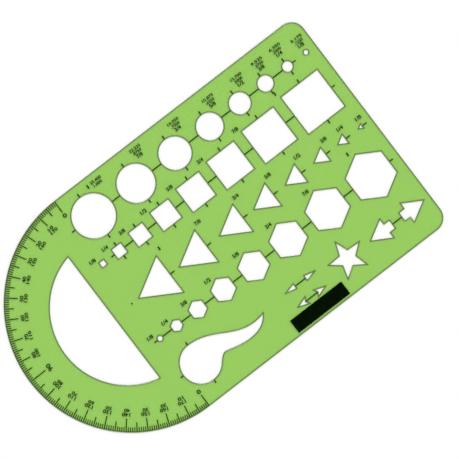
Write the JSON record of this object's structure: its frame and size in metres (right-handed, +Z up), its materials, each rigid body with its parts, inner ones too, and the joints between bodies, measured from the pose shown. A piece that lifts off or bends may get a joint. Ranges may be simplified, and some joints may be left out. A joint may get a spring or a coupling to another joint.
{
  "type": "geometry template",
  "caption": "Thin green plastic drawing template with a protractor end, rows of graded circles, squares, triangles and hexagons, a teardrop curve, a star and arrows.",
  "frame": {"origin": "the protractor's centre, on the underside of the sheet", "axes": "+Z up through the printed face, +X along the rows from the protractor end to the square end, +Y across the sheet towards the row of circles"},
  "size_m": [0.2397, 0.1424, 0.0008],
  "materials": {
    "green_plastic": "smooth see-through tinted sheet",
    "dark_ink": "printed ink, slightly matt"
  },
  "bodies": {
    "root": {"template_sheet": "green_plastic", "protractor_scale": "dark_ink", "protractor_centre_dot": "dark_ink", "circle_guide_1": "dark_ink", "circle_guide_2": "dark_ink", "circle_guide_3": "dark_ink", "circle_guide_4": "dark_ink", "circle_guide_5": "dark_ink", "circle_guide_6": "dark_ink", "circle_guide_7": "dark_ink", "circle_guide_8": "dark_ink", "square_guide_1": "dark_ink", "square_guide_2": "dark_ink", "square_guide_3": "dark_ink", "square_guide_4": "dark_ink", "square_guide_5": "dark_ink", "square_guide_6": "dark_ink", "square_guide_7": "dark_ink", "square_guide_8": "dark_ink", "triangle_guide_1": "dark_ink", "triangle_guide_2": "dark_ink", "triangle_guide_3": "dark_ink", "triangle_guide_4": "dark_ink", "triangle_guide_5": "dark_ink", "triangle_guide_6": "dark_ink", "triangle_guide_7": "dark_ink", "triangle_guide_8": "dark_ink", "hexagon_guide_1": "dark_ink", "hexagon_guide_2": "dark_ink", "hexagon_guide_3": "dark_ink", "hexagon_guide_4": "dark_ink", "hexagon_guide_5": "dark_ink", "hexagon_guide_6": "dark_ink", "hexagon_guide_7": "dark_ink", "hexagon_guide_8": "dark_ink", "hexagon_guide_9": "dark_ink", "block_arrow_line": "dark_ink", "slim_arrow_line": "dark_ink", "barbed_arrow_line": "dark_ink", "ink_bar": "dark_ink"}
  },
  "joints": []
}
